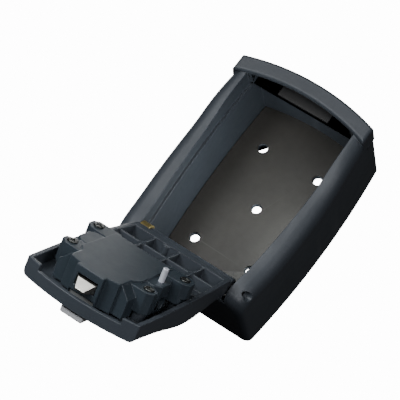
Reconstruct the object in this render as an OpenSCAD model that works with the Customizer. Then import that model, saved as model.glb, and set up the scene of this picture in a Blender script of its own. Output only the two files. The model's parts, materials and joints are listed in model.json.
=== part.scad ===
// Wall-mounted key lock box with a drop-down door, shown open on its hinge.
// +Z is up, the wall is the plane y = 0 and the front faces -Y.
// The origin is the centre of the wall screw pattern on the back face.

/* [Housing] */
// Greatest width across the bowed sides
body_w = 104.6; // [100:0.2:108]
// Height of the crown of the roof above the origin
roof_z = 72.3; // [70:0.1:74]
// Depth of the underside below the origin
bottom_z = 76.4; // [75:0.1:79]
// Depth of the front of the roof bar
hood_y = 60; // [59.5:0.1:62]
// Thickness of the cast back wall
back_t = 3; // [2.5:0.1:3.4]
// Thickness of the steel back plate
plate_t = 1.2; // [0.8:0.1:1.6]

/* [Wall fixing] */
// Distance between the wall screw holes across the box
screw_dx = 43; // [38:0.5:48]
// Distance between the wall screw holes up the box
screw_dz = 74.6; // [68:0.1:80]
// Diameter of the wall screw holes
screw_d = 6; // [5:0.1:6.5]

/* [Hinge] */
// Angle between the closed and the open door
door_open = 131; // [120:1:131]
// Diameter of the hinge pin
pin_d = 5; // [4.5:0.1:5.2]
// Radial running clearance of the turning and sliding fits
fit = 0.06; // [0.04:0.01:0.09]

/* [Door] */
// Depth of the outer face in front of the hinge axis at the free end
face_y = 3.8; // [3.6:0.1:4.2]
// Height of the swell of the outer face over the number wheels
swell = 4.9; // [4.6:0.1:5.2]
// Height of the tray rim behind the hinge axis
rim_y = 6.8; // [6.4:0.1:6.9]

/* [Lock] */
// Radius of the number wheels
wheel_r = 12; // [11.9:0.1:12.1]
// Distance from wheel to wheel
wheel_pitch = 8.6; // [8.5:0.1:8.8]
// Throw of the latch bolt and of the release knob
throw = 5.5; // [5:0.1:5.6]
// Diameter of the code change pin
code_pin_d = 3.6; // [3.4:0.1:3.8]

/* [Hidden] */

slate = [0.25, 0.28, 0.31];
steel = [0.78, 0.77, 0.73];
e = 0.01;

// hinge axis, seen from the side
hinge_y = -51.5;
hinge_z = -65.5;

// the sides of the housing are arcs of this radius about a low waist
side_r = 588;
waist_z = -5;
// front edge of the side walls: a step up to the roof bar and a swell over the hinge ears
rim_low_y = 51.8;
rim_step = 5.8;
rim_step_z = 24;
ear_swell = 2.6;
// roundings of the cast shell
corner_r = 8;
foot_r = 7;
foot_corner_r = 4;
// the roof is an arc, and so is the lower edge of its bar
roof_r = 161;
hood_low_r = 145;
hood_low_z = 61.4;
hood_back_y = 46;
hood_shoulder_z = 52;
// seat of the door and floor of its recess
ledge_y = 43.2;
lip_y = 48.5;
store_low_z = -70.8;
recess_low_z = -72;
recess_gap = 0.7;
ear_gap_half = 35.2;
// hollows in the side walls
hollow_low_z = [-66, -20, 26];
hollow_len = 38;
hollow_y = 40;
hollow_skin = 3;
hollow_wall = 1.6;

// strike plate and its two screws
strike_half = 19;
strike_t = 1.6;
strike_front_y = 48;
strike_low_z = 57.4;
strike_top_z = 67;
strike_flange_y = 30;
strike_screw_x = [-13, 13];
strike_screw_y = -36;
strike_screw_r = 1.2;

// hinge pin, bush and knuckle
pin_end_x = 43;
pin_fit = 0.01;
bush_x = [-34.9, -28];
bush_r = 4.1;
knuckle_x = [-27.6, 34.4];
knuckle_r = 5;

// door outline
door_side_r = 825;
door_bulge_v = 92;
door_half = 39.9;
door_len = 125.8;
door_end_r = 130;
swell_v = 58;
swell_spread = 28;
lip_swell = 1.2;
rim_crown = 1.2;
door_edge_r = 4;
wall = 2.5;
floor_y = -face_y + wall;
// ribs of the tray
rib_t = 1.6;
rib_x = [-18.2, 0, 18.2];
rib_v = 26;
rib_y = 5.4;
low_rib_v = 41;
low_rib_y = 2.4;
// free rim, lowered to clear the strike plate
low_rim_half = 29;
low_rim_y = 3;

// number wheel window
window_half = 20;
window_v = [59.2, 84.8];
frame_half = 22;
frame_v = [57, 87];
frame_seat_y = -5;
frame_clear = 0.2;

// mechanism
cover_y = 19.6;
cover_base_y = 0.4;
cover_wall = 2.2;
cover_end_v = 120.4;
shoulder_y = 12.5;
ear_y = 18.6;
ear_low_y = 4.7;
cover_screws_at = [[27.3, 98.7], [31.4, 64.3]];
cover_screw_r = 1.25;
cover_screw_head_r = 3;
cover_screw_head_t = 1.6;
cover_room_half = 18.4;
axle_v = 72;
axle_y = 2;
axle_r = 2;
detent_y = 18.2;
cam_r = 9.2;
hub_r = 3.4;
finger_tip_v = axle_v + cam_r + throw + 0.5;
latch_w = 13.6;
latch_low_y = 7.6;
latch_high_y = 13.4;
latch_tip_v = 126;
latch_nose_half = 3;
latch_clear = 0.2;
latch_spring_y = 10.6;
knob_half = 7.6;
stem_v = [112.4, 118.2];
knob_screw_x = [-5, 5];
knob_screw_v = 117;
knob_screw_r = 0.9;
code_pin_x = 25.2;
code_pin_v = 82;

function bell(t, mid, spread) = exp(-pow((t - mid) / spread, 2));

// half width of the outer sides at height z
function half_w(z) = body_w / 2 - pow(z - waist_z, 2) / (2 * side_r);
// depth of the front of the side walls at height z, before the bottom edge is rounded
function rim_front(z) =
    rim_low_y + rim_step / (1 + exp(-(z - rim_step_z) / 6)) + ear_swell * bell(z, hinge_z, 14);
// how far an edge of radius r has rounded off at distance d short of its end
function round_off(d, r) = d >= r ? 0 : r - sqrt(r * r - pow(r - d, 2));
// half width of the door recess at height z
function recess_w(z) = door_half + recess_gap - pow(z - hinge_z - door_bulge_v, 2) / (2 * door_side_r);
// half width of the door at distance v from the hinge axis
function door_w(v) = door_half - pow(v - door_bulge_v, 2) / (2 * door_side_r);
// depth of the outer face of the door at distance v from the hinge axis
function door_face(v) = face_y + swell * bell(v, swell_v, swell_spread) + lip_swell * bell(v, 6, 8);

// a level section: flat back at y = back, rounded front corners of radius r at y = -front
function section(half, back, front, r, z, steps = 6) = concat(
    [[-half, back, z]],
    [for (i = [0:steps]) [-half + r - r * cos(90 * i / steps), -front + r - r * sin(90 * i / steps), z]],
    [for (i = [steps:-1:0]) [half - r + r * cos(90 * i / steps), -front + r - r * sin(90 * i / steps), z]],
    [[half, back, z]]);

// skins a pile of level sections
module loft(sections) {
    n = len(sections[0]);
    m = len(sections);
    polyhedron(
        points = [for (s = sections) for (p = s) p],
        faces = concat(
            [[for (j = [0:n - 1]) j]],
            [[for (j = [n - 1:-1:0]) (m - 1) * n + j]],
            [for (i = [0:m - 2]) for (j = [0:n - 1]) let (a = i * n, b = a + n, k = (j + 1) % n)
                [a + j, b + j, b + k]],
            [for (i = [0:m - 2]) for (j = [0:n - 1]) let (a = i * n, b = a + n, k = (j + 1) % n)
                [a + j, b + k, a + k]]),
        convexity = 6);
}

// a flat outline given in x and z, standing between the depths y0 and y1
module slab(y0, y1) {
    translate([0, y1, 0]) rotate([90, 0, 0]) linear_extrude(height = y1 - y0) children();
}
// a flat outline given in y and z, standing between x0 and x1
module side_slab(x0, x1) {
    translate([x0, 0, 0]) rotate([90, 0, 90]) linear_extrude(height = x1 - x0) children();
}
module block(x0, x1, y0, y1, z0, z1) {
    translate([x0, y0, z0]) cube([x1 - x0, y1 - y0, z1 - z0]);
}
// round bars along x, y and z
module bar_x(x0, x1, y, z, r) {
    translate([x0, y, z]) rotate([0, 90, 0]) cylinder(h = x1 - x0, r = r, $fn = 48);
}
module bar_y(x, z, y0, y1, r) {
    translate([x, y1, z]) rotate([90, 0, 0]) cylinder(h = y1 - y0, r = r, $fn = 48);
}
module bar_z(x, y, z0, z1, r) {
    translate([x, y, z0]) cylinder(h = z1 - z0, r = r, $fn = 48);
}
// places a door piece: its own z runs from the hinge axis to the free end, its -y faces outwards
module on_door() {
    translate([0, hinge_y, hinge_z]) rotate([door_open, 0, 0]) children();
}
module mirrored_x() {
    children();
    mirror([1, 0, 0]) children();
}
module at_wall_screws() {
    for (x = [-1, 1]) for (z = [-1, 1]) translate([x * screw_dx / 2, 0, z * screw_dz / 2]) children();
    children();
}

// ---- housing ----

housing_levels = [for (t = [0:5]) -bottom_z + foot_r * t / 5, each [for (z = [-62:7:64]) z], 67, roof_z];

module housing_blank() {
    loft([for (z = housing_levels)
        let (d = z + bottom_z, half = half_w(z) - round_off(d, foot_corner_r))
        section(half, 0, rim_front(z) - round_off(d, foot_r), corner_r, z)]);
}
module roof_line(drop) {
    translate([0, roof_z - roof_r]) circle(r = roof_r - drop, $fn = 360);
}
module hood_low_line(rise = 0) {
    translate([0, hood_low_z - hood_low_r + rise]) circle(r = hood_low_r, $fn = 360);
}
// the roof bar: a band between two arcs, in three steps that round its front;
// each step is [distance behind the front, half width, drop of the edges]
hood_steps = [[0, 47.2, 1.8], [1, 48.6, 0.84], [2.4, 49.4, 0]];
module hood_bar() {
    for (step = hood_steps)
        slab(-hood_y + step[0], -hood_back_y)
            intersection() {
                roof_line(step[2]);
                difference() {
                    translate([-step[1], hood_shoulder_z]) square([2 * step[1], roof_z - hood_shoulder_z]);
                    hood_low_line(step[2]);
                }
            }
}
// outline of the open front, inset from the door recess
module opening(inset, low, roof = 3.6) {
    steps = 32;
    side = [for (i = [0:steps]) let (z = low + (62 - low) * i / steps) [recess_w(z) - inset, z]];
    intersection() {
        polygon(concat(
            side,
            [[side[steps][0], roof_z], [-side[steps][0], roof_z]],
            [for (i = [steps:-1:0]) [-side[i][0], side[i][1]]]));
        roof_line(roof);
    }
}
module housing() {
    color(slate) difference() {
        union() {
            intersection() {
                housing_blank();
                slab(-70, 0) roof_line(0);
            }
            hood_bar();
        }
        // store room behind the door seat
        slab(-ledge_y - e, -back_t) opening(1.8, store_low_z);
        // recess for the door
        slab(-56.5, -ledge_y) opening(0, recess_low_z);
        // open front below the roof bar
        slab(-80, -56) intersection() {
            opening(0, recess_low_z);
            hood_low_line();
        }
        // room for the hinge side of the door between the two ears
        block(-ear_gap_half, ear_gap_half, -70, -lip_y, -80, recess_low_z + 1);
        // hollows in the side walls, open to the back
        mirrored_x() for (low = hollow_low_z) {
            levels = [low, low + hollow_len / 2, low + hollow_len];
            slab(-hollow_y, e) polygon(concat(
                [for (z = levels) [half_w(z) - hollow_skin, z]],
                [for (i = [2:-1:0]) [recess_w(levels[i]) + hollow_wall, levels[i]]]));
        }
        at_wall_screws() bar_y(0, 0, -back_t - 1, 1, screw_d / 2);
        // hinge pin bores: blind in the left ear, and open in the right one, where the pin goes in
        bar_x(-pin_end_x - fit, -ear_gap_half + 1, hinge_y, hinge_z, pin_d / 2);
        bar_x(ear_gap_half - 1, body_w, hinge_y, hinge_z, pin_d / 2);
        // screw bores of the strike plate
        for (x = strike_screw_x) bar_z(x, strike_screw_y, 60, 69.6, strike_screw_r);
    }
    // bosses that carry the strike plate
    color(slate) for (x = strike_screw_x) difference() {
        bar_z(x, strike_screw_y, strike_top_z, 69.4, 4);
        bar_z(x, strike_screw_y, 60, 69.6, strike_screw_r);
    }
}
module back_plate() {
    color([0.22, 0.21, 0.19]) difference() {
        slab(-back_t - plate_t, -back_t) opening(2.1, store_low_z + 0.4, 4);
        at_wall_screws() bar_y(0, 0, -back_t - plate_t - 1, 0, screw_d / 2 + 0.4);
    }
}
module strike_plate() {
    color(steel) difference() {
        union() {
            block(-strike_half, strike_half, -strike_front_y, -strike_front_y + strike_t,
                  strike_low_z, strike_top_z);
            block(-strike_half, strike_half, -strike_front_y + strike_t - 0.1, -strike_flange_y,
                  strike_top_z - strike_t, strike_top_z);
        }
        for (x = strike_screw_x) bar_z(x, strike_screw_y, 60, 70, strike_screw_r + 0.5);
    }
}
module strike_screws() {
    under_z = strike_top_z - strike_t;
    color(steel) for (x = strike_screw_x) difference() {
        union() {
            bar_z(x, strike_screw_y, under_z - 1.4, under_z, 2.8);
            bar_z(x, strike_screw_y, under_z - 0.1, 68.8, strike_screw_r);
        }
        // six-sided socket
        translate([x, strike_screw_y, under_z - 1.5]) cylinder(h = 0.9, r = 1.5, $fn = 6);
    }
}
module hinge_pin() {
    color(steel) bar_x(-pin_end_x, pin_end_x, hinge_y, hinge_z, pin_d / 2 - pin_fit);
}
module hinge_bush() {
    color([0.72, 0.62, 0.30]) difference() {
        bar_x(bush_x[0], bush_x[1], hinge_y, hinge_z, bush_r);
        bar_x(bush_x[0] - 1, bush_x[1] + 1, hinge_y, hinge_z, pin_d / 2 - pin_fit);
    }
}

// ---- door, drawn closed about the hinge axis and turned open by on_door ----

door_levels = [6, 8, 10, 13, each [for (v = [18:7:116]) v], 120, 123, door_len + 2];

module door_blank() {
    loft([for (v = door_levels)
        let (back = rim_y + rim_crown * bell(v, 62, 34))
        section(door_w(v) - round_off(v - 4, 5), back, door_face(v), door_edge_r, v)]);
}
module door_end_line(inset) {
    translate([0, door_len - door_end_r]) circle(r = door_end_r - inset, $fn = 360);
}
module tray(inset, low) {
    intersection() {
        polygon(concat(
            [for (v = [low:6:126]) [door_w(v) - inset, v]],
            [for (v = [126:-6:low]) [-door_w(v) + inset, v]]));
        door_end_line(inset);
    }
}
// a rib or wall standing on the tray floor
module rib(x0, x1, z0, z1, top) {
    block(x0, x1, floor_y - 0.7, top, z0, z1);
}
module at_cover_screws() {
    for (p = cover_screws_at) mirrored_x() translate([p[0], 0, p[1]]) children();
}
module door_shell() {
    on_door() color(slate) difference() {
        union() {
            difference() {
                intersection() {
                    door_blank();
                    slab(-20, 20) door_end_line(0);
                }
                slab(floor_y, 20) tray(3, 12);
                // lowered stretch of the free rim, which clears the strike plate
                block(-low_rim_half, low_rim_half, low_rim_y, 20, 112, 140);
            }
            // ribs of the hinge side
            rib(-36.5, 36.5, rib_v, rib_v + rib_t, rib_y);
            rib(-37, 37, low_rib_v, low_rib_v + rib_t, low_rib_y);
            for (x = rib_x) {
                rib(x - rib_t / 2, x + rib_t / 2, 11, rib_v + 1, rib_y - 0.2);
                rib(x - rib_t / 2, x + rib_t / 2, rib_v + 1, 53, rib_y - 0.2);
            }
            for (x = [rib_x[0], rib_x[2]]) bar_y(x, rib_v + rib_t / 2, floor_y - 0.7, rib_y, 2);
            bar_y(rib_x[0] / 2, 11.4, floor_y - 0.7, 5.8, 2.4);
            // hinge knuckle, and the thinner wall beside the bush
            bar_x(knuckle_x[0], knuckle_x[1], 0, 0, knuckle_r);
            block(knuckle_x[0], knuckle_x[1], -knuckle_r, 4, 0, 9);
            block(-34.4, knuckle_x[0], -knuckle_r, 0.4, 5.4, 9);
            // bosses of the cover screws
            at_cover_screws() bar_y(0, 0, -face_y - 0.8, ear_low_y - 0.1, 4.2);
            // seat of the code change spring
            bar_y(code_pin_x, code_pin_v, -face_y - 0.8, 1.2, 3.2);
        }
        bar_x(-40, 40, 0, 0, pin_d / 2 + fit);
        bar_x(-40, knuckle_x[0], 0, 0, bush_r + 0.4);
        // number wheel window and the shallow seat of its frame
        window_cut(window_half, window_v, floor_y + 0.3);
        window_cut(frame_half, frame_v, frame_seat_y);
        // slot of the release knob
        block(-3.4, 3.4, -20, 3, stem_v[0] - throw - 0.3, stem_v[1] + 0.4);
        at_cover_screws() bar_y(0, 0, -1, 10, cover_screw_r);
        bar_y(code_pin_x, code_pin_v, 0, 10, 2);
    }
}
module window_cut(half, v, deep) {
    block(-half - frame_clear, half + frame_clear, -20, deep, v[0] - frame_clear, v[1] + frame_clear);
}
module number_window() {
    back = frame_seat_y - 0.1;
    on_door() color([0.12, 0.13, 0.14]) difference() {
        union() {
            block(-window_half, window_half, back, -2, window_v[0], window_v[1]);
            // the frame stands proud of the door and slopes off towards the free end
            side_slab(-frame_half, frame_half) polygon([
                [back, frame_v[0]], [-10.2, frame_v[0] + 0.6], [-10.6, 60],
                [-10.6, 74], [-7.4, frame_v[1] - 0.4], [back, frame_v[1]]]);
        }
        for (i = [0:3]) block(wheel_x(i) - 3.1, wheel_x(i) + 3.1, -20, 10, 62, 82);
        bar_x(-18.5, 18.5, axle_y, axle_v, wheel_r + 0.5);
    }
}
module cover_outline(inset) {
    half = [[20.4 - inset, 57 + inset], [21 - inset, 98], [17.2 - inset, 104],
        [17.2 - inset, 115.2 - inset], [9.4 - inset, 117.2 - inset], [9.4 - inset, cover_end_v - inset]];
    polygon(concat(half, [for (i = [5:-1:0]) [-half[i][0], half[i][1]]]));
}
module mechanism_cover() {
    base = cover_base_y;
    room = cover_room_half;
    on_door() color([0.23, 0.27, 0.31]) difference() {
        union() {
            difference() {
                slab(base, cover_y) cover_outline(0);
                // the hinge side slopes up to the top face
                side_slab(-40, 40) polygon([[10, 50], [10, 57], [cover_y + e, 62.5], [30, 62.5], [30, 50]]);
            }
            // shoulders and ears
            mirrored_x() {
                translate([0, 0, 103]) linear_extrude(10.5)
                    polygon([[12, base], [24.4, base], [24.4, shoulder_y], [17.2, cover_y], [12, cover_y]]);
                slab(ear_low_y, ear_y)
                    polygon([[18, 92], [27, 93], [32.8, 97], [32.8, 101], [29, 104.6], [18, 104.6]]);
                // the hinge side ear is narrower low down, where it passes the tray rim
                slab(ear_low_y, 8.8)
                    polygon([[18, 58.6], [34, 58.6], [35.4, 60], [35.4, 69], [33.4, 70.4], [18, 72]]);
                slab(8.7, ear_y)
                    polygon([[18, 58.6], [34, 58.6], [37, 62], [37, 67], [33.4, 70.4], [18, 72]]);
                // flank between the ears
                slab(base, ear_y)
                    polygon([[18, 72], [28, 74], [30, 78], [30, 88], [26, 92], [18, 92]]);
            }
        }
        // room for the wheels, the carriage and the latch
        slab(base - 1, cover_y - cover_wall) intersection() {
            cover_outline(2);
            translate([-30, 90.3]) square([60, 40]);
        }
        block(-room, room, base - 1, 5, 72, 92);
        bar_x(-room, room, axle_y, axle_v, wheel_r + 1);
        block(-room, room, -2, axle_y, 59, 85);
        // room for the detent spring
        block(-room, room, 10, detent_y, 70, 81);
        // arched window in the right flank, where the axle end shows
        bar_x(26, 40, 6, 83, 4.4);
        // latch mouth
        block(-latch_w / 2 - latch_clear, latch_w / 2 + latch_clear,
              latch_low_y - latch_clear, latch_high_y + 1.4, 110, 125);
        // carriage mouth
        block(-8.6, 8.6, base - 1, 3.6, 110, 125);
        // stepped bores of the cover screws
        at_cover_screws() {
            bar_y(0, 0, 4, 30, 1.7);
            bar_y(0, 0, ear_y - cover_screw_head_t, 30, cover_screw_head_r + 0.2);
        }
        // code change pin bore and spring room
        bar_y(code_pin_x, code_pin_v, 3, 30, code_pin_d / 2 + fit);
        bar_y(code_pin_x, code_pin_v, base - 1, ear_y - 5, 3.4);
        // axle bores
        bar_x(-24, 24, axle_y, axle_v, axle_r);
    }
}
module cover_screws() {
    top = ear_y + 0.6;
    seat = ear_y - cover_screw_head_t;
    on_door() color([0.16, 0.17, 0.18]) at_cover_screws() difference() {
        union() {
            bar_y(0, 0, seat, top, cover_screw_head_r);
            bar_y(0, 0, 0, seat + 0.1, cover_screw_r);
        }
        // cross slot
        for (a = [20, 110]) translate([0, top, 0]) rotate([0, a, 0]) cube([4, 2, 0.9], center = true);
    }
}

// ---- number wheels and code cams ----

function wheel_x(i) = (i - 1.5) * wheel_pitch;

module wheel(i) {
    on_door() color([0.86, 0.86, 0.83]) difference() {
        union() {
            bar_x(wheel_x(i) - 2.7, wheel_x(i) + 2.7, axle_y, axle_v, wheel_r - 0.7);
            // ten flats that carry the figures, with grips between them
            translate([wheel_x(i) - 2.6, axle_y, axle_v]) rotate([0, 90, 0])
                for (k = [0:9]) rotate([0, 0, 36 * k + 18])
                    translate([wheel_r - 1.4, -0.6, 0]) cube([1.3, 1.2, 5.2]);
        }
        bar_x(wheel_x(i) - 5, wheel_x(i) + 5, axle_y, axle_v, axle_r + fit);
    }
}
module cam(i) {
    x0 = wheel_x(i) + 2.7;
    on_door() color([0.74, 0.62, 0.34]) difference() {
        bar_x(x0, x0 + 2.1, axle_y, axle_v, cam_r);
        bar_x(x0 - 1, x0 + 4, axle_y, axle_v, axle_r + fit);
        // gate for the carriage finger
        block(x0 - 1, x0 + 4, axle_y - 1.8, axle_y + 1.8, axle_v + hub_r + 0.4, axle_v + 12);
        // false notches
        for (a = [72, 144, 216, 288])
            translate([x0, axle_y, axle_v]) rotate([a, 0, 0])
                block(-1, 4, -1.2, 1.2, cam_r - 1, cam_r + 2);
    }
}
module number_wheel_1() { wheel(0); }
module number_wheel_2() { wheel(1); }
module number_wheel_3() { wheel(2); }
module number_wheel_4() { wheel(3); }
module code_cam_1() { cam(0); }
module code_cam_2() { cam(1); }
module code_cam_3() { cam(2); }
module code_cam_4() { cam(3); }
module wheel_axle() {
    on_door() color(steel) bar_x(-23.2, 21.6, axle_y, axle_v, axle_r - pin_fit);
}
module axle_washer() {
    on_door() color([0.72, 0.62, 0.30]) difference() {
        bar_x(17.8, 18.35, axle_y, axle_v, 5);
        bar_x(17, 19, axle_y, axle_v, axle_r + fit);
    }
}
// leaf spring with one finger over each number wheel
module detent_spring() {
    on_door() color(steel) {
        block(-17, 17, detent_y - 0.5, detent_y, 70.4, 80.6);
        for (i = [0:3]) block(wheel_x(i) - 2, wheel_x(i) + 2, 14.4, detent_y - 0.4, 71.4, 72.2);
    }
}

// ---- latch, release slide and code change pin ----

module latch_bolt() {
    on_door() color(steel) difference() {
        intersection() {
            side_slab(-latch_w / 2, latch_w / 2) polygon([
                [latch_low_y, 100], [latch_high_y, 100], [latch_high_y, cover_end_v],
                [latch_low_y + 1.2, latch_tip_v], [latch_low_y, latch_tip_v]]);
            // the nose narrows to both sides
            slab(latch_low_y - 1, latch_high_y + 1) polygon([
                [-latch_w / 2 - 1, 99], [latch_w / 2 + 1, 99], [latch_w / 2 + 1, cover_end_v - 1],
                [latch_nose_half, latch_tip_v + 1], [-latch_nose_half, latch_tip_v + 1],
                [-latch_w / 2 - 1, cover_end_v - 1]]);
        }
        // pocket of the return spring
        bar_z(0, latch_spring_y, 99, 110, 2.2);
        // slot for the tongue of the carriage
        block(-3.1, 3.1, 7, 8.6, 103, 109.1);
    }
}
// a wire of six sides wound about z, from the level 0 up to the level rise
module coil(r, wire, turns, rise) {
    sides = 6;
    steps = turns * 12;
    rings = [for (i = [0:steps]) let (turn = 360 * i / 12, level = rise * i / steps)
        [for (k = [0:sides - 1]) let (across = r + wire * cos(60 * k))
            [across * cos(turn), across * sin(turn), level + wire * sin(60 * k)]]];
    polyhedron(
        points = [for (ring = rings) for (p = ring) p],
        faces = concat(
            [[for (j = [sides - 1:-1:0]) j]],
            [[for (j = [0:sides - 1]) steps * sides + j]],
            [for (i = [0:steps - 1]) for (j = [0:sides - 1])
                let (a = i * sides, b = a + sides, k = (j + 1) % sides) [a + j, b + k, b + j]],
            [for (i = [0:steps - 1]) for (j = [0:sides - 1])
                let (a = i * sides, b = a + sides, k = (j + 1) % sides) [a + j, a + k, b + k]]),
        convexity = 10);
}
module latch_spring() {
    on_door() color(steel) translate([0, latch_spring_y, 90.6]) coil(1.7, 0.3, 8, 18.8);
}
module slider_carriage() {
    on_door() color([0.55, 0.56, 0.55]) {
        // plate that runs on the tray floor
        block(-8.4, 8.4, -1.2, 2.8, 90, 119);
        block(-17, 17, -1.2, 3.4, 90, 95);
        // stem through the slot of the door
        block(-3, 3, -4.5, -1.1, stem_v[0], stem_v[1]);
        // tongue that draws the latch bolt
        block(-2.9, 2.9, 2.7, 8.4, 103.3, 108.8);
        // fingers in line with the gates of the cams, short enough to stay clear of the cams
        for (i = [0:3])
            block(wheel_x(i) + 3, wheel_x(i) + 4.5, axle_y - 1.4, axle_y + 1.4, finger_tip_v, 91);
    }
}
module release_knob() {
    on_door() color([0.80, 0.81, 0.82]) difference() {
        union() {
            block(-knob_half, knob_half, -9.6, -4.5, 110.4, 123.6);
            block(-knob_half, knob_half, -10.6, -9.5, 112, 122.6);
        }
        for (x = knob_screw_x) bar_y(x, knob_screw_v, -20, -4, knob_screw_r);
    }
}
module knob_screws() {
    on_door() color(steel) for (x = knob_screw_x) bar_y(x, knob_screw_v, -10.4, -5, knob_screw_r - pin_fit);
}
module code_pin() {
    on_door() color([0.80, 0.82, 0.86]) bar_y(code_pin_x, code_pin_v, 4, 27, code_pin_d / 2);
}
module code_pin_clip() {
    on_door() color(steel) difference() {
        bar_y(code_pin_x, code_pin_v, 12.4, 13.2, 3);
        bar_y(code_pin_x, code_pin_v, 10, 15, code_pin_d / 2);
    }
}
module code_spring() {
    on_door() color(steel)
        translate([code_pin_x, 1.55, code_pin_v]) rotate([-90, 0, 0]) coil(2.5, 0.3, 6, 10.45);
}

housing();
back_plate();
strike_plate();
strike_screws();
hinge_pin();
hinge_bush();
door_shell();
number_window();
mechanism_cover();
cover_screws();
wheel_axle();
axle_washer();
detent_spring();
number_wheel_1();
number_wheel_2();
number_wheel_3();
number_wheel_4();
code_cam_1();
code_cam_2();
code_cam_3();
code_cam_4();
latch_bolt();
latch_spring();
slider_carriage();
release_knob();
knob_screws();
code_pin();
code_pin_clip();
code_spring();
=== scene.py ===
import json
import math

import bpy
from mathutils import Matrix, Vector


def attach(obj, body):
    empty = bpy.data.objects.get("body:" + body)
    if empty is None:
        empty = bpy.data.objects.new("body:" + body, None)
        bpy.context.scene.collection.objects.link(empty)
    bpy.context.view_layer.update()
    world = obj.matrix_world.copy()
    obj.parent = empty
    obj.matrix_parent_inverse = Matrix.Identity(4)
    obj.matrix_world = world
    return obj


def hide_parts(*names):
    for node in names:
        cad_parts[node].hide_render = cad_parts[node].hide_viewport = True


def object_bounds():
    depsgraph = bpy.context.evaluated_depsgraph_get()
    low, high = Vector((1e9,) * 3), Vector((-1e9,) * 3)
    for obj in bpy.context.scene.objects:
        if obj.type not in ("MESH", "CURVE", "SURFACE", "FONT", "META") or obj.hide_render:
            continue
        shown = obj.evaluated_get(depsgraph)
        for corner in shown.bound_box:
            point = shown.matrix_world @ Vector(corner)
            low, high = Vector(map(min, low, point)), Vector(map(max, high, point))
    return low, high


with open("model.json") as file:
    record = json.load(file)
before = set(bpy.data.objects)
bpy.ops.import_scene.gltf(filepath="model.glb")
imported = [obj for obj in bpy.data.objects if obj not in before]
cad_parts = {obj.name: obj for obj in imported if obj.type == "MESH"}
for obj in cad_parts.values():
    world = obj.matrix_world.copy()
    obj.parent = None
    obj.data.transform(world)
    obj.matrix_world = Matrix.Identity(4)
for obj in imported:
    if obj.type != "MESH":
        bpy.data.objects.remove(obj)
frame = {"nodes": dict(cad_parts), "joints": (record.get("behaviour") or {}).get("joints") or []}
cad_low, cad_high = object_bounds()


# ---- Studio ----
# A long lens looks up at the open box from the front right. The room is plain white, the floor
# lies well below the box, and two soft lamps stand at the upper left and in front.

lens = bpy.data.cameras.new("camera")
lens.sensor_width = 36
lens.lens = 184.64
lens.clip_end = 20
camera = bpy.data.objects.new("camera", lens)
camera.location = (0.4233, -1.1722, -0.3803)
camera.rotation_euler = [math.radians(turn) for turn in (110.223, -35.943, 9.171)]
bpy.context.scene.collection.objects.link(camera)
bpy.context.scene.camera = camera

room = bpy.data.worlds.new("white_room")
room.use_nodes = True
seen = room.node_tree.nodes["Background"]
seen.inputs["Color"].default_value = (1, 1, 1, 1)
seen.inputs["Strength"].default_value = 14
fill = room.node_tree.nodes.new("ShaderNodeBackground")
fill.inputs["Color"].default_value = (1, 1, 1, 1)
fill.inputs["Strength"].default_value = 0.05
ray = room.node_tree.nodes.new("ShaderNodeLightPath")
either = room.node_tree.nodes.new("ShaderNodeMixShader")
room.node_tree.links.new(ray.outputs["Is Camera Ray"], either.inputs["Fac"])
room.node_tree.links.new(fill.outputs["Background"], either.inputs[1])
room.node_tree.links.new(seen.outputs["Background"], either.inputs[2])
room.node_tree.links.new(either.outputs["Shader"], room.node_tree.nodes["World Output"].inputs["Surface"])
bpy.context.scene.world = room


def lamp(name, place, aim, size, power, colour):
    """A square soft lamp at a place, turned towards a point."""
    light = bpy.data.lights.new(name, "AREA")
    light.size = size
    light.energy = power
    light.color = colour
    holder = bpy.data.objects.new(name, light)
    holder.location = place
    holder.rotation_euler = (Vector(aim) - Vector(place)).to_track_quat("-Z", "Y").to_euler()
    holder.visible_camera = False
    bpy.context.scene.collection.objects.link(holder)


lamp("key_lamp", (-0.5, -1.05, 0.3), (0, -0.05, 0), 0.6, 4.2, (0.97, 0.98, 1))
lamp("front_lamp", (0.05, -1.15, -0.11), (0, -0.1, -0.05), 0.3, 3, (0.97, 0.98, 1))
lamp("side_lamp", (0.7, -0.9, -0.05), (0, -0.1, -0.05), 0.3, 1, (0.97, 0.98, 1))
lamp("door_lamp", (0.26, -0.38, -0.13), (0.02, -0.12, -0.12), 0.1, 0.4, (1, 0.97, 1))
lamp("end_lamp", (-0.17, -0.42, -0.13), (-0.02, -0.14, -0.14), 0.1, 0.8, (0.94, 0.98, 1))
lamp("inner_lamp", (0.034, -0.035, -0.01), (-0.04, -0.035, -0.01), 0.05, 0.06, (0.90, 0.96, 1))
lamp("back_lamp", (-0.7, 0.9, 0.7), (0, 0, 0), 0.8, 14, (1, 1, 1))

bpy.ops.object.select_all(action="DESELECT")
bpy.ops.mesh.primitive_plane_add(size=12, location=(0, 0, -1.1))
floor = bpy.context.object
floor.name = "floor"
paper = bpy.data.materials.new("floor_paper")
paper.use_nodes = True
pale = paper.node_tree.nodes["Principled BSDF"]
pale.inputs["Base Color"].default_value = (0.82, 0.82, 0.81, 1)
pale.inputs["Roughness"].default_value = 0.7
pale.inputs["Emission Color"].default_value = (1, 1, 1, 1)
pale.inputs["Emission Strength"].default_value = 2
dim = paper.node_tree.nodes.new("ShaderNodeBsdfDiffuse")
dim.inputs["Color"].default_value = (0.03, 0.03, 0.03, 1)
looked_at = paper.node_tree.nodes.new("ShaderNodeLightPath")
choice = paper.node_tree.nodes.new("ShaderNodeMixShader")
paper.node_tree.links.new(looked_at.outputs["Is Camera Ray"], choice.inputs["Fac"])
paper.node_tree.links.new(dim.outputs["BSDF"], choice.inputs[1])
paper.node_tree.links.new(pale.outputs["BSDF"], choice.inputs[2])
paper.node_tree.links.new(choice.outputs["Shader"], paper.node_tree.nodes["Material Output"].inputs["Surface"])
floor.data.materials.append(paper)


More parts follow.
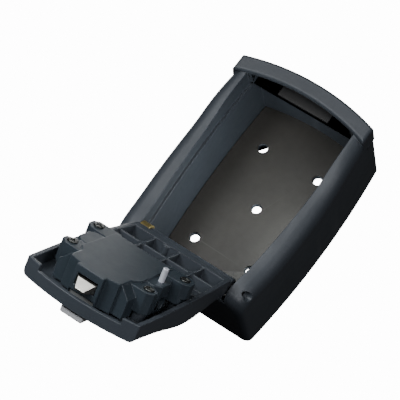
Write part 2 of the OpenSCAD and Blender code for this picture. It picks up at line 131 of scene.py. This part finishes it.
# ---- Housing ----
# One zinc casting with a satin slate powder coat: a back wall, two bowed side walls whose front
# edges step up to a thick roof bar, a rounded foot and two ears that hold the hinge pin.

mm = 0.001


def socket(group, name, way, kind, value=None):
    """Adds one named input or output to a shader node group."""
    made = group.interface.new_socket(name=name, in_out=way, socket_type="NodeSocket" + kind)
    if value is not None:
        made.default_value = value


def wear_group():
    """Mottled colour, lighter edges that are partly wear and partly painted highlight, uneven gloss and a two-step
    grain for any solid finish.
    """
    group = bpy.data.node_groups.new("surface_wear_and_highlight", "ShaderNodeTree")
    socket(group, "Colour", "INPUT", "Color", (0.5, 0.5, 0.5, 1))
    socket(group, "Edge colour", "INPUT", "Color", (0.8, 0.8, 0.8, 1))
    socket(group, "Edge amount", "INPUT", "Float", 0.4)
    socket(group, "Mottle", "INPUT", "Float", 0.2)
    socket(group, "Gloss spread", "INPUT", "Float", 0.1)
    socket(group, "Roughness", "INPUT", "Float", 0.5)
    socket(group, "Grain scale", "INPUT", "Float", 1500)
    socket(group, "Colour", "OUTPUT", "Color")
    socket(group, "Roughness", "OUTPUT", "Float")
    socket(group, "Height", "OUTPUT", "Float")
    nodes, links = group.nodes, group.links
    given = nodes.new("NodeGroupInput")
    out = nodes.new("NodeGroupOutput")
    place = nodes.new("ShaderNodeTexCoord")

    def noise(scale, detail):
        made = nodes.new("ShaderNodeTexNoise")
        made.inputs["Scale"].default_value = scale
        made.inputs["Detail"].default_value = detail
        links.new(place.outputs["Object"], made.inputs["Vector"])
        return made

    def maths(kind, *parts):
        made = nodes.new("ShaderNodeMath")
        made.operation = kind
        for slot, part in enumerate(parts):
            if isinstance(part, (int, float)):
                made.inputs[slot].default_value = part
            else:
                links.new(part, made.inputs[slot])
        return made.outputs["Value"]

    clouds = noise(38, 4).outputs["Fac"]
    patches = noise(210, 3).outputs["Fac"]
    speck = noise(900, 2)
    links.new(given.outputs["Grain scale"], speck.inputs["Scale"])
    grain = speck.outputs["Fac"]

    # colour: the base colour lighter and darker in soft clouds
    shift = maths("MULTIPLY", maths("SUBTRACT", clouds, 0.5), given.outputs["Mottle"])
    fine = maths("MULTIPLY", maths("SUBTRACT", grain, 0.5), maths("MULTIPLY", given.outputs["Mottle"], 0.8))
    level = maths("ADD", 1.0, maths("ADD", maths("MULTIPLY", shift, 2.0), fine))
    tone = nodes.new("ShaderNodeVectorMath")
    tone.operation = "SCALE"
    links.new(given.outputs["Colour"], tone.inputs[0])
    links.new(level, tone.inputs["Scale"])

    # lighter edges, partly wear and partly painted highlight: where the surface is sharply convex, broken up by the
    # patches
    shape = nodes.new("ShaderNodeNewGeometry")
    sharp = nodes.new("ShaderNodeMapRange")
    sharp.inputs["From Min"].default_value = 0.53
    sharp.inputs["From Max"].default_value = 0.66
    links.new(shape.outputs["Pointiness"], sharp.inputs["Value"])
    broken = maths("MULTIPLY", sharp.outputs["Result"], maths("ADD", 0.35, patches))
    amount = maths("MULTIPLY", broken, given.outputs["Edge amount"])
    edge = nodes.new("ShaderNodeMix")
    edge.data_type = "RGBA"
    links.new(amount, edge.inputs["Factor"])
    links.new(tone.outputs["Vector"], edge.inputs["A"])
    links.new(given.outputs["Edge colour"], edge.inputs["B"])
    links.new(edge.outputs["Result"], out.inputs["Colour"])

    # gloss varies with the patches and the grain
    uneven = maths("ADD", maths("SUBTRACT", patches, 0.5), maths("SUBTRACT", grain, 0.5))
    rough = maths("ADD", given.outputs["Roughness"], maths("MULTIPLY", uneven, given.outputs["Gloss spread"]))
    links.new(rough, out.inputs["Roughness"])
    links.new(maths("ADD", grain, maths("MULTIPLY", patches, 0.6)), out.inputs["Height"])
    return group


surface_wear_and_highlight = wear_group()


def finish(name, colour, rough, edge=None, edge_amount=0.4, mottle=0.2, spread=0.12,
           grain=1500, relief=0.05, metallic=0.0, specular=0.5):
    """A material: the group for wear and painted edge highlight, with its own values, in front of a Principled
    shader.
    """
    made = bpy.data.materials.new(name)
    made.use_nodes = True
    nodes, links = made.node_tree.nodes, made.node_tree.links
    shader = nodes["Principled BSDF"]
    shader.inputs["Metallic"].default_value = metallic
    shader.inputs["Specular IOR Level"].default_value = specular
    # this node paints the mottle, the edge wear and the painted edge highlight
    wear = nodes.new("ShaderNodeGroup")
    wear.node_tree = surface_wear_and_highlight
    wear.inputs["Colour"].default_value = (*colour, 1)
    wear.inputs["Edge colour"].default_value = (*(edge or colour), 1)
    wear.inputs["Edge amount"].default_value = edge_amount
    wear.inputs["Mottle"].default_value = mottle
    wear.inputs["Gloss spread"].default_value = spread
    wear.inputs["Roughness"].default_value = rough
    wear.inputs["Grain scale"].default_value = grain
    bump = nodes.new("ShaderNodeBump")
    bump.inputs["Strength"].default_value = 0.5
    bump.inputs["Distance"].default_value = relief * mm
    links.new(wear.outputs["Colour"], shader.inputs["Base Color"])
    links.new(wear.outputs["Roughness"], shader.inputs["Roughness"])
    links.new(wear.outputs["Height"], bump.inputs["Height"])
    links.new(bump.outputs["Normal"], shader.inputs["Normal"])
    return made


def coat(piece, material):
    """Gives all of a piece, or of a CAD node, one material."""
    piece.data.materials.clear()
    piece.data.materials.append(material)


def alone(piece):
    """Leaves this piece alone selected and active."""
    bpy.ops.object.select_all(action="DESELECT")
    piece.select_set(True)
    bpy.context.view_layer.objects.active = piece


def brick(name, x, y, z):
    """A cube stretched between two values along each axis, in millimetres."""
    bpy.ops.object.select_all(action="DESELECT")
    bpy.ops.mesh.primitive_cube_add(size=1)
    piece = bpy.context.object
    piece.name = piece.data.name = name
    for corner in piece.data.vertices:
        corner.co = [mm * span[1 if part > 0 else 0] for part, span in zip(corner.co, (x, y, z))]
    return piece


def rod(name, start, end, radius, sides=64):
    """A cylinder between two points, in millimetres."""
    start, end = Vector(start) * mm, Vector(end) * mm
    bpy.ops.object.select_all(action="DESELECT")
    bpy.ops.mesh.primitive_cylinder_add(
        vertices=sides, radius=radius * mm, depth=(end - start).length, location=(start + end) / 2,
        rotation=(end - start).to_track_quat("Z", "Y").to_euler())
    piece = bpy.context.object
    piece.name = piece.data.name = name
    bpy.ops.object.transform_apply(location=True, rotation=True, scale=True)
    return piece


def slice_up(piece, axis, places):
    """Cuts a ring of edges round the piece at each place along an axis."""
    alone(piece)
    normal = Vector((axis == "x", axis == "y", axis == "z"))
    bpy.ops.object.mode_set(mode="EDIT")
    for place in places:
        bpy.ops.mesh.select_all(action="SELECT")
        bpy.ops.mesh.bisect(plane_co=normal * place * mm, plane_no=normal)
    bpy.ops.object.mode_set(mode="OBJECT")


def form(piece, rule):
    """Moves every corner to where rule(x, y, z) puts it, in millimetres."""
    for corner in piece.data.vertices:
        corner.co = Vector(rule(*(corner.co / mm))) * mm


def pick_faces(piece, wanted):
    """Enters edit mode with the faces selected whose centre and normal pass the test."""
    alone(piece)
    bpy.ops.object.mode_set(mode="EDIT")
    bpy.ops.mesh.select_mode(type="FACE")
    bpy.ops.mesh.select_all(action="DESELECT")
    bpy.ops.object.mode_set(mode="OBJECT")
    for face in piece.data.polygons:
        face.select = wanted(face.center / mm, face.normal)
    bpy.ops.object.mode_set(mode="EDIT")


def pick_edges(piece, wanted):
    """Enters edit mode with the edges selected whose two ends pass the test."""
    alone(piece)
    bpy.ops.object.mode_set(mode="EDIT")
    bpy.ops.mesh.select_mode(type="EDGE")
    bpy.ops.mesh.select_all(action="DESELECT")
    bpy.ops.object.mode_set(mode="OBJECT")
    for edge in piece.data.edges:
        first, last = [piece.data.vertices[end].co / mm for end in edge.vertices]
        edge.select = wanted(first, last)
    bpy.ops.object.mode_set(mode="EDIT")


def sink(piece, depth, inset=0):
    """Insets the selected faces and pushes them back to the depth y, in millimetres."""
    if inset:
        bpy.ops.mesh.inset(thickness=inset * mm, use_even_offset=True)
    bpy.ops.mesh.extrude_region_move(TRANSFORM_OT_translate={"value": (0, 0, 0)})
    bpy.ops.object.mode_set(mode="OBJECT")
    moved = {corner for face in piece.data.polygons if face.select for corner in face.vertices}
    for corner in moved:
        piece.data.vertices[corner].co.y = depth * mm
    bpy.ops.object.mode_set(mode="EDIT")


def combine(piece, tools, how):
    """Cuts the tools away from the piece, or joins them to it, as one solid."""
    for tool in tools:
        alone(piece)
        cut = piece.modifiers.new("cut", "BOOLEAN")
        cut.operation = how
        cut.solver = "EXACT"
        cut.object = tool
        bpy.ops.object.modifier_apply(modifier=cut.name)
        bpy.data.objects.remove(tool)


def soften(piece, width, angle=30, segments=3):
    """Rounds every edge sharper than the angle and shades the piece smooth."""
    alone(piece)
    bpy.ops.object.mode_set(mode="EDIT")
    bpy.ops.mesh.select_all(action="SELECT")
    bpy.ops.mesh.remove_doubles(threshold=0.02 * mm)
    bpy.ops.mesh.dissolve_limited(angle_limit=math.radians(0.2))
    bpy.ops.mesh.normals_make_consistent(inside=False)
    bpy.ops.object.mode_set(mode="OBJECT")
    round_off_edges = piece.modifiers.new("edges", "BEVEL")
    round_off_edges.width = width * mm
    round_off_edges.segments = segments
    round_off_edges.limit_method = "ANGLE"
    round_off_edges.angle_limit = math.radians(angle)
    round_off_edges.use_clamp_overlap = False
    bpy.ops.object.modifier_apply(modifier=round_off_edges.name)
    bpy.ops.object.shade_smooth_by_angle(angle=math.radians(40))
    even = piece.modifiers.new("even", "WEIGHTED_NORMAL")
    even.keep_sharp = True
    bpy.ops.object.modifier_apply(modifier=even.name)


def steps(low, high, pace):
    """Evenly spaced places between two values, both left out."""
    count = max(1, round((high - low) / pace))
    return [low + (high - low) * i / count for i in range(1, count)]


def bell(place, middle, spread):
    return math.exp(-(((place - middle) / spread) ** 2))


def rounding(distance, radius):
    """How far an edge of this radius has drawn back at a distance short of its end."""
    return 0 if distance >= radius else radius - math.sqrt(radius**2 - (radius - distance) ** 2)


ROOF_Z, FOOT_Z, ROOF_R, BAR_R, BAR_Z = 72.3, -76.4, 161, 145, 61.4
LEDGE_Y, STORE_Y, RECESS_Z = -43.2, -3, -72


def roof_at(x, drop=0):
    return ROOF_Z - ROOF_R + math.sqrt((ROOF_R - drop) ** 2 - x * x)


def bar_low_at(x):
    return BAR_Z - BAR_R + math.sqrt(BAR_R**2 - x * x)


def half_width(z):
    return 52.3 - (z + 5) ** 2 / 1176


def recess_half(z):
    return 40.6 - (z - 26.5) ** 2 / 1650


def rim_front(z):
    return 51.8 + 5.8 / (1 + math.exp(-(z - 24) / 6)) + 2.6 * bell(z, -65.5, 14)


ARCH_Z = 48


def arched(x, z, top, drop):
    """Raises the levels above the shoulder so that the level top follows the roof arc."""
    return z if z <= ARCH_Z else ARCH_Z + (z - ARCH_Z) * (roof_at(x, drop) - ARCH_Z) / (top - ARCH_Z)


def housing_rule(x, y, z):
    """Turns the plain sliced cube into the bowed shell with its wavy front edge and round foot."""
    inner = 0.8
    side = abs(x)
    for _ in range(3):
        level = arched(side * half_width(z) if side <= 1 else x, z, ROOF_Z, 0)
        seat, edge = recess_half(level), half_width(level) - rounding(z - FOOT_Z, 4)
        wide = side / inner * seat if side <= inner else seat + (side - inner) / (1 - inner) * (edge - seat)
        level = arched(wide, z, ROOF_Z, 0)
    front = -(rim_front(level) - rounding(z - FOOT_Z, 7))
    return (math.copysign(wide, x), front if y < 0 else 0, level)


RIM_TOP_Z = 68.7
housing = brick("housing_shell", (-1, 1), (-1, 0), (FOOT_Z, ROOF_Z))
slice_up(housing, "x", [0.8 * i / 12 for i in range(-12, 13)])
slice_up(housing, "z", [FOOT_Z + 7 * i / 6 for i in range(1, 7)] + [RECESS_Z, RIM_TOP_Z] + steps(-69.4, 68, 4))
form(housing, housing_rule)

# the two front corners of the shell
pick_edges(housing, lambda a, b: min(abs(a.x), abs(b.x)) > recess_half(0) + 1.5 and max(a.y, b.y) < -30
           and abs(a.z - b.z) > 0.2)
bpy.ops.mesh.bevel(offset=8 * mm, segments=8, profile=0.5, affect="EDGES", clamp_overlap=False)
bpy.ops.object.mode_set(mode="OBJECT")

# the door recess, its ledge and the store room behind it
pick_faces(housing, lambda c, n: c.y < -30 and n.y < -0.5 and abs(c.x) < recess_half(c.z)
           and RECESS_Z < c.z < arched(c.x, RIM_TOP_Z, ROOF_Z, 0))
sink(housing, LEDGE_Y)
sink(housing, STORE_Y, inset=1.8)
bpy.ops.object.mode_set(mode="OBJECT")

# the roof bar with a hollow behind its lip
bar = brick("bar", (-49.4, 49.4), (-60, -46), (0, 1))
slice_up(bar, "x", steps(-49.4, 49.4, 3))
form(bar, lambda x, y, z: (x, y, roof_at(x) + 0.15 if z > 0.5 else bar_low_at(x)))
pick_edges(bar, lambda a, b: max(a.y, b.y) < -59 and (abs(a.x - b.x) > 0.5 or min(abs(a.x), abs(b.x)) > 49))
bpy.ops.mesh.bevel(offset=2.2 * mm, segments=5, profile=0.5, affect="EDGES", clamp_overlap=False)
bpy.ops.object.mode_set(mode="OBJECT")
hollow = brick("hollow", (-36.9, 36.9), (-56.4, -40), (30, RIM_TOP_Z))
slice_up(hollow, "x", steps(-36.9, 36.9, 3))
form(hollow, lambda x, y, z: (x, y, roof_at(x, 3.6) + 0.2 if z > 40 else z))
combine(bar, [hollow], "DIFFERENCE")
combine(housing, [bar], "UNION")

# the gap between the ears, the hinge bores, the wall screw holes and the strike plate bosses
HINGE_Y, HINGE_Z = -51.5, -65.5
cutters = [brick("gap", (-35.2, 35.2), (-75, -48.5), (-85, -71)),
           rod("blind_bore", (-43.1, HINGE_Y, HINGE_Z), (-34, HINGE_Y, HINGE_Z), 2.5),
           rod("open_bore", (34, HINGE_Y, HINGE_Z), (60, HINGE_Y, HINGE_Z), 2.5)]
for side in (-1, 1):
    for low in (-66, -20, 26):
        pocket = brick("pocket", (0, 1), (-40, 1), (low, low + 38))
        slice_up(pocket, "z", steps(low, low + 38, 9.5))
        outer = side > 0
        form(pocket, lambda x, y, z: (side * (half_width(z) - 3 if (x > 0.5) == outer
                                              else recess_half(z) + 1.6), y, z))
        cutters.append(pocket)
for x, z in ((0, 0), (-21.5, -37.3), (21.5, -37.3), (-21.5, 37.3), (21.5, 37.3)):
    cutters.append(rod("screw_hole", (x, -8, z), (x, 1, z), 3))
combine(housing, cutters, "DIFFERENCE")
combine(housing, [rod("boss", (x, -36, 67), (x, -36, 69.6), 4) for x in (-13, 13)], "UNION")
soften(housing, 0.6)
for corner in housing.data.vertices:
    corner.co.x = min(max(corner.co.x, cad_low[0]), cad_high[0])
    corner.co.z = min(corner.co.z, cad_high[2])
slate = finish("slate_powder_coat", (0.040, 0.048, 0.058), 0.46, edge=(0.10, 0.11, 0.12), edge_amount=0.5,
               mottle=0.16, spread=0.16, grain=2300, relief=0.05)
coat(housing, slate)
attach(housing, "housing")
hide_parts("housing")


def fair_copy(node, name, edge=0.4, angle=30):
    """A copy of a CAD node's flat-faced shape with its triangles merged and its edges rounded."""
    bpy.ops.object.select_all(action="DESELECT")
    piece = frame["nodes"][node].copy()
    piece.data = piece.data.copy()
    piece.parent = None
    for key in list(piece.keys()):
        del piece[key]
    piece.name = piece.data.name = name
    bpy.context.scene.collection.objects.link(piece)
    soften(piece, edge, angle)
    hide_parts(node)
    return piece


# ---- Back plate ----
# A sheet steel plate with a warm dark paint, clamped between the wall screws and the casting.

back_paint = finish("back_plate_paint", (0.024, 0.022, 0.018), 0.60, mottle=0.35, spread=0.2, grain=1300,
                    relief=0.03, edge=(0.10, 0.10, 0.09))
back_plate = fair_copy("back_plate", "back_plate_sheet", 0.25)
coat(back_plate, back_paint)
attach(back_plate, "housing")


# ---- Strike plate ----
# A bent steel plate screwed up under the roof. Its near-black colour is painted shade from the roof above it,
# and its sharp edges are only a little lighter, as a painted highlight.

zinc_plate = finish("zinc_plate", (0.50, 0.51, 0.50), 0.36, edge=(0.75, 0.75, 0.74), mottle=0.25, spread=0.25,
                    grain=1900, relief=0.015, metallic=1.0)
strike = fair_copy("strike_plate", "strike_plate_bent", 0.35)
# near-black colour: painted shade under the roof bar; slightly lighter edges: painted highlight
strike_shade_and_highlight = finish("strike_plate_painted_shade_and_highlight", (0.010, 0.010, 0.010), 0.60, edge=(0.03, 0.03, 0.03), edge_amount=0.2,
                      mottle=0.3, spread=0.2, grain=1800, relief=0.02)
coat(strike, strike_shade_and_highlight)
coat(frame["nodes"]["strike_screws"], zinc_plate)
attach(strike, "housing")


# ---- Hinge pin and bush ----
# A steel pin pressed through both ears, and a yellow passivated bush that fills the gap beside the
# left ear.

yellow_zinc = finish("yellow_zinc", (0.42, 0.33, 0.13), 0.42, edge=(0.66, 0.58, 0.32), mottle=0.3, spread=0.25,
                     grain=1500, relief=0.02, metallic=0.9)
bush = rod("hinge_bush_ring", (-34.8, HINGE_Y, HINGE_Z), (-28, HINGE_Y, HINGE_Z), 6.3, 64)
combine(bush, [rod("bore", (-36, HINGE_Y, HINGE_Z), (-26, HINGE_Y, HINGE_Z), 2.6, 64)], "DIFFERENCE")
soften(bush, 0.3)
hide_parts("hinge_bush")
coat(bush, yellow_zinc)
coat(frame["nodes"]["hinge_pin"], finish("blackened_steel", (0.030, 0.030, 0.032), 0.45, edge=(0.10, 0.10, 0.10),
                                         mottle=0.3, spread=0.2, grain=1500, relief=0.02, metallic=0.8))
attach(bush, "housing")


# ---- Door shell ----
# A shallow zinc casting in the same coat. It is modelled closed, with z running from the hinge
# axis to the free end, and is turned open about the hinge pin when it is finished.

hinge = next(joint for joint in frame["joints"] if joint["name"] == "door_hinge")
door_place = (Matrix.Translation(hinge["pos_m"])
              @ Matrix.Rotation(math.radians(hinge["range_deg"][1]), 4, "X"))


def hang_on_door(piece):
    """Turns a piece that was modelled closed about the hinge axis to where the open door holds it."""
    piece.matrix_world = door_place @ piece.matrix_world
    alone(piece)
    bpy.ops.object.transform_apply(location=True, rotation=True, scale=True)


DOOR_END, DOOR_END_R, DOOR_ARCH, TRAY_WALL, TRAY_Y = 125.8, 130, 112, 3, -1.3


def door_half(v):
    return 39.9 - (v - 92) ** 2 / 1650


def door_face(v):
    return 5 + 5.1 * bell(v, 58, 28) + 1.2 * bell(v, 6, 8)


def door_end_at(x):
    return DOOR_END - DOOR_END_R + math.sqrt(DOOR_END_R**2 - x * x)


def door_rule(x, y, z):
    """Turns the plain sliced cube into the bowed, swollen door with its arched free end."""
    inner = 0.8
    side = abs(x)
    level, wide = z, 0
    for _ in range(3):
        seat, edge = door_half(level) - TRAY_WALL, door_half(level) - rounding(z - 4, 5)
        wide = side / inner * seat if side <= inner else seat + (side - inner) / (1 - inner) * (edge - seat)
        if z > DOOR_ARCH:
            level = DOOR_ARCH + (z - DOOR_ARCH) * (door_end_at(wide) - DOOR_ARCH) / (DOOR_END - DOOR_ARCH)
    rim = 6.8 + 1.2 * bell(level, 62, 34)
    return (math.copysign(wide, x), -door_face(level) if y < 0 else rim, level)


door = brick("door_casting", (-1, 1), (-1, 1), (6, DOOR_END))
slice_up(door, "x", [0.8 * i / 12 for i in range(-12, 13)])
slice_up(door, "z", [6.6, 7.4, 8.4, 9.6, 12, DOOR_END - TRAY_WALL] + steps(12, DOOR_END - TRAY_WALL, 4))
form(door, door_rule)
pick_edges(door, lambda a, b: max(a.y, b.y) < 0 and (
    (min(abs(a.x) - door_half(a.z), abs(b.x) - door_half(b.z)) > -1.3 and abs(a.z - b.z) > 0.2)))
bpy.ops.mesh.bevel(offset=4 * mm, segments=7, profile=0.5, affect="EDGES", clamp_overlap=False)
bpy.ops.object.mode_set(mode="OBJECT")
pick_faces(door, lambda c, n: c.y > 5 and n.y > 0.5 and abs(c.x) < door_half(c.z) - TRAY_WALL
           and 12 < c.z < DOOR_ARCH + (DOOR_END - TRAY_WALL - DOOR_ARCH)
           * (door_end_at(c.x) - DOOR_ARCH) / (DOOR_END - DOOR_ARCH))
sink(door, TRAY_Y)
bpy.ops.object.mode_set(mode="OBJECT")
combine(door, [brick("low_rim", (-29, 29), (3, 20), (112, 140))], "DIFFERENCE")

# ribs, knuckle and bosses
RIB_T, RIB_X, RIB_V, RIB_Y, LOW_RIB_V, LOW_RIB_Y, ROOT_Y = 1.6, (-18.2, 0, 18.2), 26, 6.3, 41, 2.4, -2
COVER_SCREWS = [(side * x, v) for x, v in ((27.3, 98.7), (31.4, 64.3)) for side in (-1, 1)]
CODE_PIN_X, CODE_PIN_V = 25.2, 82
raised = [brick("rib", (-36.5, 36.5), (ROOT_Y, RIB_Y), (RIB_V, RIB_V + RIB_T)),
          brick("rib", (-37, 37), (ROOT_Y, LOW_RIB_Y), (LOW_RIB_V, LOW_RIB_V + RIB_T))]
for x in RIB_X:
    raised.append(brick("rib", (x - RIB_T / 2, x + RIB_T / 2), (ROOT_Y, RIB_Y), (11, 53)))
for x in (RIB_X[0], RIB_X[2]):
    raised.append(rod("stud", (x, ROOT_Y, RIB_V + 0.8), (x, RIB_Y, RIB_V + 0.8), 2, 32))
raised.append(rod("stud", (RIB_X[0] / 2, ROOT_Y, 11.4), (RIB_X[0] / 2, 5.8, 11.4), 2.4, 32))
raised.append(rod("knuckle", (-27.6, 0, 0), (34.4, 0, 0), 5))
raised.append(brick("knuckle_web", (-27.6, 34.4), (-5, 4), (0, 9)))
raised.append(brick("bush_web", (-34.4, -27.6), (-5, 0.4), (5.4, 9)))
for x, v in COVER_SCREWS:
    raised.append(rod("screw_boss", (x, -4.6, v), (x, 4.6, v), 4.2, 40))
raised.append(rod("pin_seat", (CODE_PIN_X, -4.6, CODE_PIN_V), (CODE_PIN_X, 1.2, CODE_PIN_V), 3.2, 40))
combine(door, raised, "UNION")

holes = [rod("bore", (-40, 0, 0), (40, 0, 0), 2.56), rod("bush_room", (-40, 0, 0), (-27.6, 0, 0), 6.6),
         brick("window", (-20.2, 20.2), (-20, -1), (59, 85)),
         brick("frame_seat", (-22.2, 22.2), (-20, -5), (56.8, 87.2)),
         brick("knob_slot", (-3.4, 3.4), (-20, 3), (106.6, 118.6)),
         rod("pin_hole", (CODE_PIN_X, 0, CODE_PIN_V), (CODE_PIN_X, 10, CODE_PIN_V), 2, 32)]
for x, v in COVER_SCREWS:
    holes.append(rod("screw_hole", (x, -1, v), (x, 10, v), 1.25, 32))
combine(door, holes, "DIFFERENCE")
soften(door, 0.45)
hang_on_door(door)
coat(door, slate)
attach(door, "door")
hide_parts("door_shell")


# ---- Number window ----
# A black moulded frame clipped into the outer face of the door, with one slot for each number wheel.

black_plastic = finish("black_plastic", (0.012, 0.013, 0.015), 0.42, edge=(0.05, 0.05, 0.055), mottle=0.2,
                       spread=0.12, grain=2600, relief=0.02)
window = fair_copy("number_window", "number_window_frame", 0.5)
coat(window, black_plastic)
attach(window, "door")


# ---- Mechanism cover ----
# A stepped cover moulded in dark slate plastic, screwed down on the door by four ears. It holds the
# wheels, the latch and the code change pin.

cover_plastic = finish("cover_plastic", (0.024, 0.034, 0.043), 0.46, edge=(0.09, 0.11, 0.13), edge_amount=0.5,
                       mottle=0.12, spread=0.14, grain=2800, relief=0.02)
cover = fair_copy("mechanism_cover", "mechanism_cover_moulding", 0.45)
coat(cover, cover_plastic)
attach(cover, "door")


# ---- Cover screws ----
# Four blackened pan head screws with a cross slot, one in each ear of the cover.

black_steel = finish("blackened_steel", (0.11, 0.115, 0.11), 0.34, edge=(0.35, 0.35, 0.33), edge_amount=0.8,
                     mottle=0.4, spread=0.25, grain=2200, relief=0.015, metallic=1.0)
screws = fair_copy("cover_screws", "cover_screws_set", 0.3)
coat(screws, black_steel)
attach(screws, "door")


# ---- Wheel axle, washer and detent spring ----
# The steel rod that carries the wheels, the washer at its end and the leaf spring that clicks into
# the grips of the wheels. They sit inside the cover and keep their plain shapes.

for node in ("wheel_axle", "detent_spring"):
    coat(frame["nodes"][node], zinc_plate)
coat(frame["nodes"]["axle_washer"], yellow_zinc)


# ---- Number wheels and code cams ----
# Four white moulded wheels, each with ten printed figures between its finger grips, and beside
# each one the yellow passivated cam that the release slide reads.

white_plastic = finish("wheel_plastic", (0.72, 0.71, 0.66), 0.34, edge=(0.8, 0.8, 0.76), mottle=0.06, spread=0.1,
                       grain=1800, relief=0.01)
figure_ink = finish("figure_ink", (0.015, 0.015, 0.017), 0.5, mottle=0.1, grain=2600, relief=0.01)
AXLE_Y, AXLE_V, WHEEL_PITCH, FIGURE_R, FIGURE_SIZE, FIGURE_T = 2, 72, 8.6, 11.3, 4.8, 0.12
for i in range(4):
    wheel = fair_copy(f"number_wheel_{i + 1}", f"wheel_{i + 1}_moulding", 0.25)
    coat(wheel, white_plastic)
    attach(wheel, f"wheel_{i + 1}")
    coat(frame["nodes"][f"code_cam_{i + 1}"], yellow_zinc)

    figures = []
    for figure in range(10):
        bpy.ops.object.select_all(action="DESELECT")
        bpy.ops.object.text_add()
        text = bpy.context.object
        text.data.body = str(figure)
        text.data.align_x = "CENTER"
        text.data.align_y = "CENTER"
        text.data.size = FIGURE_SIZE * mm
        text.data.extrude = FIGURE_T * mm
        bpy.ops.object.convert(target="MESH")
        text = bpy.context.object
        middle = Vector(((i - 1.5) * WHEEL_PITCH, AXLE_Y, AXLE_V)) * mm
        text.matrix_world = (Matrix.Translation(middle) @ Matrix.Rotation(math.radians(36 * figure), 4, "X")
                             @ Matrix.Translation((0, -FIGURE_R * mm, 0)) @ Matrix.Rotation(math.radians(90), 4, "X"))
        bpy.ops.object.transform_apply(location=True, rotation=True, scale=True)
        figures.append(text)
    bpy.ops.object.select_all(action="DESELECT")
    for text in figures:
        text.select_set(True)
    bpy.context.view_layer.objects.active = figures[0]
    bpy.ops.object.join()
    ring = bpy.context.object
    ring.name = ring.data.name = f"wheel_{i + 1}_figures"
    hang_on_door(ring)
    coat(ring, figure_ink)
    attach(ring, f"wheel_{i + 1}")


# ---- Latch bolt ----
# A nickel plated bolt with a bevelled nose. Its spring pushes it out of the cover's mouth.

nickel = finish("nickel_plate", (0.42, 0.41, 0.38), 0.34, edge=(0.85, 0.84, 0.80), mottle=0.2, spread=0.25,
                grain=1700, relief=0.015, metallic=1.0)
LATCH_HALF, LATCH_LOW, LATCH_HIGH, LATCH_ROOT, LATCH_TIP = 6.8, 7.6, 13.4, 100, 126
latch = brick("latch_bolt_bevelled", (-LATCH_HALF, LATCH_HALF), (LATCH_LOW, LATCH_HIGH), (LATCH_ROOT, LATCH_TIP))
alone(latch)
bpy.ops.object.mode_set(mode="EDIT")
for start, facing in (((0, LATCH_HIGH, 120.6), (0, 5.4, 4.6)),
                      ((LATCH_HALF, 0, 119.6), (6.4, 0, 3.8)), ((-LATCH_HALF, 0, 119.6), (-6.4, 0, 3.8))):
    bpy.ops.mesh.select_all(action="SELECT")
    bpy.ops.mesh.bisect(plane_co=Vector(start) * mm, plane_no=Vector(facing).normalized(),
                        clear_outer=True, use_fill=True)
bpy.ops.object.mode_set(mode="OBJECT")
combine(latch, [rod("spring_pocket", (0, 10.6, 99), (0, 10.6, 110), 2.2, 32),
                brick("tongue_slot", (-3.1, 3.1), (7, 8.6), (103, 109.1))], "DIFFERENCE")
soften(latch, 0.45)
hang_on_door(latch)
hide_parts("latch_bolt")
coat(latch, nickel)
coat(frame["nodes"]["latch_spring"], zinc_plate)
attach(latch, "latch")


# ---- Release slide ----
# The knob on the outer face is screwed through a slot to the carriage, which draws the bolt back
# when all four cams are in line.

carriage_metal = finish("carriage_zinc", (0.32, 0.33, 0.33), 0.5, mottle=0.3, spread=0.25, grain=1200, relief=0.03,
                        metallic=0.8)
# the knob's light grey, mostly non-metallic colour is partly its own chrome colour and partly a painted reflection
chrome_with_painted_reflection = finish("chrome_with_painted_reflection", (0.74, 0.75, 0.78), 0.26, edge=(0.9, 0.9, 0.92), mottle=0.08, spread=0.16,
                      grain=2600, relief=0.01, metallic=0.4)
KNOB_HALF, KNOB_V = 7.6, (110.4, 123.6)
knob = brick("release_knob_cap", (-KNOB_HALF, KNOB_HALF), (-10.5, -5.3), KNOB_V)
pick_edges(knob, lambda a, b: max(a.y, b.y) < -10)
bpy.ops.mesh.bevel(offset=1.3 * mm, segments=2, profile=0.5, affect="EDGES", clamp_overlap=False)
bpy.ops.object.mode_set(mode="OBJECT")
combine(knob, [rod("finger_dish", (-30, -28.2, 117), (30, -28.2, 117), 18.4, 128)]
        + [rod("screw_hole", (x, -20, 117), (x, -4, 117), 0.9, 32) for x in (-5, 5)], "DIFFERENCE")
soften(knob, 0.35)
hang_on_door(knob)
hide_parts("release_knob")
coat(knob, chrome_with_painted_reflection)
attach(knob, "release_slide")
coat(frame["nodes"]["slider_carriage"], carriage_metal)
coat(frame["nodes"]["knob_screws"], zinc_plate)


# ---- Code change pin ----
# A ground steel pin that is pressed in to change the code, with its clip and return spring below.

# the pin's pale bluish, mostly non-metallic colour is partly its ground steel and partly a painted reflection
pin_steel = finish("pin_steel", (0.66, 0.69, 0.76), 0.24, edge=(0.85, 0.87, 0.92), mottle=0.1, spread=0.12,
                   grain=2000, relief=0.01, metallic=0.3)
pin = fair_copy("code_pin", "code_pin_ground", 0.5)
coat(pin, pin_steel)
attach(pin, "code_pin")
for node in ("code_pin_clip", "code_spring"):
    coat(frame["nodes"][node], zinc_plate)
